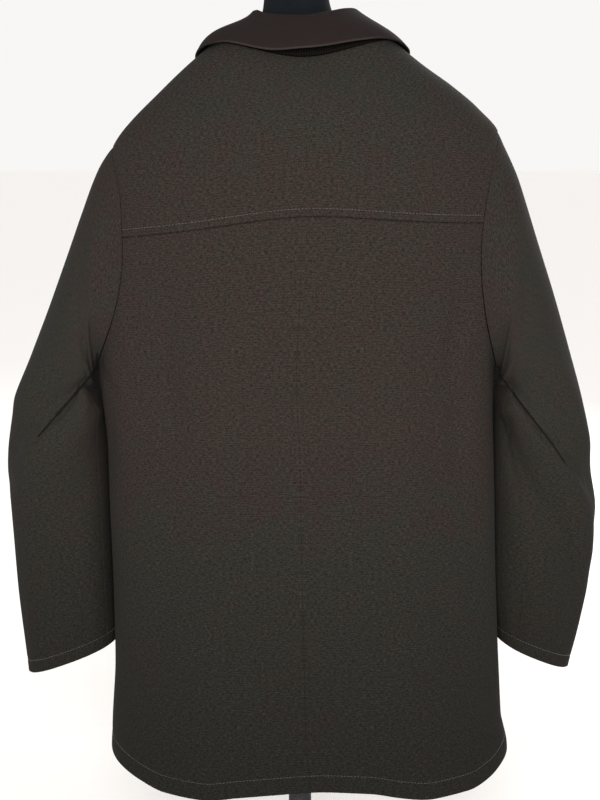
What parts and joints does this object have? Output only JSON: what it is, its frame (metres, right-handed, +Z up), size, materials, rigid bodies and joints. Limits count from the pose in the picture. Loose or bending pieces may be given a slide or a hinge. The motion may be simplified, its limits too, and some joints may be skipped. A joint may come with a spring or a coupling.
{
  "type": "wool coat on dress form",
  "caption": "Thigh-length wool coat with a back yoke, set-in sleeves and fold-over collar, worn by a limbless dress form on a round stand.",
  "frame": {"origin": "centre of the round base's underside", "axes": "+Z up, +Y towards the coat's back, -Y towards its front, +X towards the wearer's left"},
  "size_m": [0.7297, 0.3034, 1.122],
  "materials": {
    "wool": "dark brown-olive wool coating cloth with fine pale flecks",
    "ribbed_cloth": "dark ribbed cloth",
    "collar_cloth": "smooth dark brown cloth with a short nap",
    "horn": "dark brown horn-like plastic",
    "form_cover": "plain dark blue-grey jersey cover",
    "dark_metal": "satin dark paint"
  },
  "bodies": {
    "root": {"back_yoke": "wool", "back_left": "wool", "back_right": "wool", "front_left": "wool", "front_right": "wool", "sleeve_left_upper": "wool", "sleeve_left_under": "wool", "sleeve_right_upper": "wool", "sleeve_right_under": "wool", "collar_stand": "ribbed_cloth", "collar_fall": "collar_cloth", "button_1": "horn", "button_2": "horn", "button_3": "horn", "button_4": "horn", "button_5": "horn", "form_torso": "form_cover", "stand_pole": "dark_metal", "stand_base": "dark_metal"}
  },
  "joints": []
}
